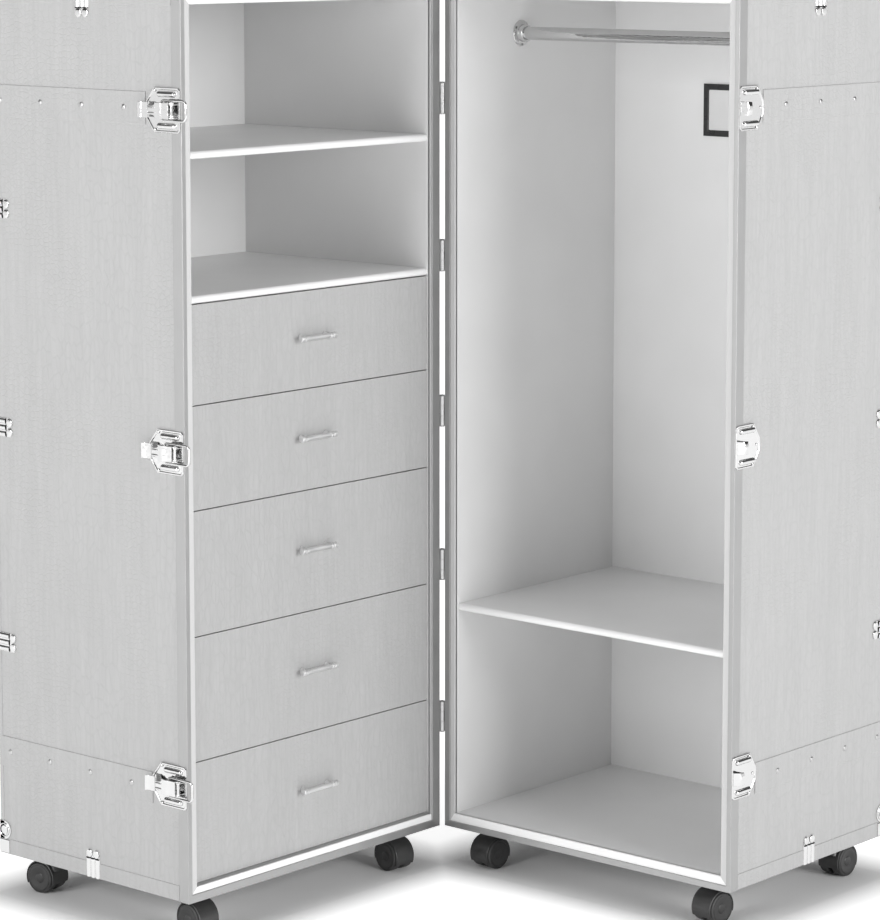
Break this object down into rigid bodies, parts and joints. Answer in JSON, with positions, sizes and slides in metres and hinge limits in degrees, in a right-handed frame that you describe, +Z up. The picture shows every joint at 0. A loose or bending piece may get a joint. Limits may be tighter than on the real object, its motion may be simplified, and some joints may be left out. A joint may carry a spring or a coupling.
{
  "type": "wardrobe trunk",
  "caption": "Upright wardrobe trunk on casters, standing open: one half with open shelves over drawers, the other with a hanging rail over a low shelf; draw-bolt latches hold it shut.",
  "frame": {"origin": "middle of the outline, on the floor, with the trunk standing open at a right angle", "axes": "+Z up; the right half opens towards -Y and the left half towards +X, and the hinge line runs along +Z between them"},
  "size_m": [1.0452, 1.0476, 1.473],
  "materials": {
    "covering": "light grey embossed covering over plywood",
    "edging": "satin folded edging",
    "lining": "white laminated boards",
    "chrome": "polished chrome plate",
    "nickel": "satin nickel plate",
    "caster": "black moulded nylon",
    "wheel": "black moulded nylon"
  },
  "bodies": {
    "right_half": {"right_casing": "covering", "right_edging": "edging", "right_lining": "lining", "right_shelf": "lining", "hanging_rail": "chrome", "rail_socket_hinge_side": "chrome", "rail_socket_latch_side": "chrome", "latch_catch_1": "chrome", "latch_catch_2": "chrome", "latch_catch_3": "chrome", "right_hinge_leaf_1": "nickel", "right_hinge_leaf_2": "nickel", "right_hinge_leaf_3": "nickel", "right_hinge_leaf_4": "nickel", "right_hinge_leaf_5": "nickel"},
    "left_half": {"left_casing": "covering", "left_edging": "edging", "left_lining": "lining", "left_upper_shelf": "lining", "left_lower_shelf": "lining", "latch_plate_1": "chrome", "latch_plate_2": "chrome", "latch_plate_3": "chrome", "left_hinge_leaf_1": "nickel", "left_hinge_leaf_2": "nickel", "left_hinge_leaf_3": "nickel", "left_hinge_leaf_4": "nickel", "left_hinge_leaf_5": "nickel"},
    "drawer_1": {"drawer_1": "covering", "drawer_pull_1": "nickel"},
    "drawer_2": {"drawer_2": "covering", "drawer_pull_2": "nickel"},
    "drawer_3": {"drawer_3": "covering", "drawer_pull_3": "nickel"},
    "drawer_4": {"drawer_4": "covering", "drawer_pull_4": "nickel"},
    "drawer_5": {"drawer_5": "covering", "drawer_pull_5": "nickel"},
    "latch_lever_1": {"latch_lever_1": "chrome"},
    "latch_bail_1": {"latch_bail_1": "chrome"},
    "latch_lever_2": {"latch_lever_2": "chrome"},
    "latch_bail_2": {"latch_bail_2": "chrome"},
    "latch_lever_3": {"latch_lever_3": "chrome"},
    "latch_bail_3": {"latch_bail_3": "chrome"},
    "right_caster_hood_1": {"right_caster_hood_1": "caster"},
    "right_caster_wheels_1": {"right_caster_wheels_1": "wheel"},
    "right_caster_hood_2": {"right_caster_hood_2": "caster"},
    "right_caster_wheels_2": {"right_caster_wheels_2": "wheel"},
    "right_caster_hood_3": {"right_caster_hood_3": "caster"},
    "right_caster_wheels_3": {"right_caster_wheels_3": "wheel"},
    "right_caster_hood_4": {"right_caster_hood_4": "caster"},
    "right_caster_wheels_4": {"right_caster_wheels_4": "wheel"},
    "left_caster_hood_1": {"left_caster_hood_1": "caster"},
    "left_caster_wheels_1": {"left_caster_wheels_1": "wheel"},
    "left_caster_hood_2": {"left_caster_hood_2": "caster"},
    "left_caster_wheels_2": {"left_caster_wheels_2": "wheel"},
    "left_caster_hood_3": {"left_caster_hood_3": "caster"},
    "left_caster_wheels_3": {"left_caster_wheels_3": "wheel"},
    "left_caster_hood_4": {"left_caster_hood_4": "caster"},
    "left_caster_wheels_4": {"left_caster_wheels_4": "wheel"}
  },
  "joints": [
    {"name": "trunk_hinge", "type": "hinge", "parent": "right_half", "child": "left_half", "pos_m": [-0.0841, 0.08525, 0.77], "axis": [0, 0, -1], "range_deg": [-90, 90]},
    {"name": "drawer_slide_1", "type": "slide", "parent": "left_half", "child": "drawer_1", "axis": [1, 0, 0], "range_m": [0, 0.28]},
    {"name": "drawer_slide_2", "type": "slide", "parent": "left_half", "child": "drawer_2", "axis": [1, 0, 0], "range_m": [0, 0.28]},
    {"name": "drawer_slide_3", "type": "slide", "parent": "left_half", "child": "drawer_3", "axis": [1, 0, 0], "range_m": [0, 0.28]},
    {"name": "drawer_slide_4", "type": "slide", "parent": "left_half", "child": "drawer_4", "axis": [1, 0, 0], "range_m": [0, 0.28]},
    {"name": "drawer_slide_5", "type": "slide", "parent": "left_half", "child": "drawer_5", "axis": [1, 0, 0], "range_m": [0, 0.28]},
    {"name": "lever_hinge_1", "type": "hinge", "parent": "left_half", "child": "latch_lever_1", "pos_m": [-0.0976, -0.51655, 0.25004], "axis": [0, 0, 1], "range_deg": [0, 150]},
    {"name": "bail_hinge_1", "type": "hinge", "parent": "left_half", "child": "latch_bail_1", "pos_m": [-0.1196, -0.51655, 0.25004], "axis": [0, 0, -1], "range_deg": [0, 100]},
    {"name": "lever_hinge_2", "type": "hinge", "parent": "left_half", "child": "latch_lever_2", "pos_m": [-0.0976, -0.51655, 0.77], "axis": [0, 0, 1], "range_deg": [0, 150]},
    {"name": "bail_hinge_2", "type": "hinge", "parent": "left_half", "child": "latch_bail_2", "pos_m": [-0.1196, -0.51655, 0.77], "axis": [0, 0, -1], "range_deg": [0, 100]},
    {"name": "lever_hinge_3", "type": "hinge", "parent": "left_half", "child": "latch_lever_3", "pos_m": [-0.0976, -0.51655, 1.28996], "axis": [0, 0, 1], "range_deg": [0, 150]},
    {"name": "bail_hinge_3", "type": "hinge", "parent": "left_half", "child": "latch_bail_3", "pos_m": [-0.1196, -0.51655, 1.28996], "axis": [0, 0, -1], "range_deg": [0, 100]},
    {"name": "right_caster_swivel_1", "type": "hinge", "parent": "right_half", "child": "right_caster_hood_1", "pos_m": [-0.0151, 0.14775, 0.07], "axis": [0, 0, 1], "continuous": true},
    {"name": "right_caster_roll_1", "type": "hinge", "parent": "right_caster_hood_1", "child": "right_caster_wheels_1", "pos_m": [-0.01636, 0.12979, 0.025], "axis": [-0.9976, 0.0698, 0], "continuous": true},
    {"name": "right_caster_swivel_2", "type": "hinge", "parent": "right_half", "child": "right_caster_hood_2", "pos_m": [0.4459, 0.14775, 0.07], "axis": [0, 0, 1], "continuous": true},
    {"name": "right_caster_roll_2", "type": "hinge", "parent": "right_caster_hood_2", "child": "right_caster_wheels_2", "pos_m": [0.44402, 0.12985, 0.025], "axis": [-0.9945, 0.1045, 0], "continuous": true},
    {"name": "right_caster_swivel_3", "type": "hinge", "parent": "right_half", "child": "right_caster_hood_3", "pos_m": [-0.0151, 0.45875, 0.07], "axis": [0, 0, 1], "continuous": true},
    {"name": "right_caster_roll_3", "type": "hinge", "parent": "right_caster_hood_3", "child": "right_caster_wheels_3", "pos_m": [-0.0241, 0.44316, 0.025], "axis": [-0.866, 0.5, 0], "continuous": true},
    {"name": "right_caster_swivel_4", "type": "hinge", "parent": "right_half", "child": "right_caster_hood_4", "pos_m": [0.4459, 0.45875, 0.07], "axis": [0, 0, 1], "continuous": true},
    {"name": "right_caster_roll_4", "type": "hinge", "parent": "right_caster_hood_4", "child": "right_caster_wheels_4", "pos_m": [0.44653, 0.47674, 0.025], "axis": [0.9994, -0.0349, 0], "continuous": true},
    {"name": "left_caster_swivel_1", "type": "hinge", "parent": "left_half", "child": "left_caster_hood_1", "pos_m": [-0.1466, 0.01625, 0.07], "axis": [0, 0, 1], "continuous": true},
    {"name": "left_caster_roll_1", "type": "hinge", "parent": "left_caster_hood_1", "child": "left_caster_wheels_1", "pos_m": [-0.1287, 0.01437, 0.025], "axis": [-0.1045, -0.9945, 0], "continuous": true},
    {"name": "left_caster_swivel_2", "type": "hinge", "parent": "left_half", "child": "left_caster_hood_2", "pos_m": [-0.1466, -0.44475, 0.07], "axis": [0, 0, 1], "continuous": true},
    {"name": "left_caster_roll_2", "type": "hinge", "parent": "left_caster_hood_2", "child": "left_caster_wheels_2", "pos_m": [-0.12864, -0.44601, 0.025], "axis": [-0.0698, -0.9976, 0], "continuous": true},
    {"name": "left_caster_swivel_3", "type": "hinge", "parent": "left_half", "child": "left_caster_hood_3", "pos_m": [-0.4576, 0.01625, 0.07], "axis": [0, 0, 1], "continuous": true},
    {"name": "left_caster_roll_3", "type": "hinge", "parent": "left_caster_hood_3", "child": "left_caster_wheels_3", "pos_m": [-0.44603, 0.00246, 0.025], "axis": [-0.766, -0.6428, 0], "continuous": true},
    {"name": "left_caster_swivel_4", "type": "hinge", "parent": "left_half", "child": "left_caster_hood_4", "pos_m": [-0.4576, -0.44475, 0.07], "axis": [0, 0, 1], "continuous": true},
    {"name": "left_caster_roll_4", "type": "hinge", "parent": "left_caster_hood_4", "child": "left_caster_wheels_4", "pos_m": [-0.47542, -0.44726, 0.025], "axis": [-0.1392, 0.9903, 0], "continuous": true}
  ]
}
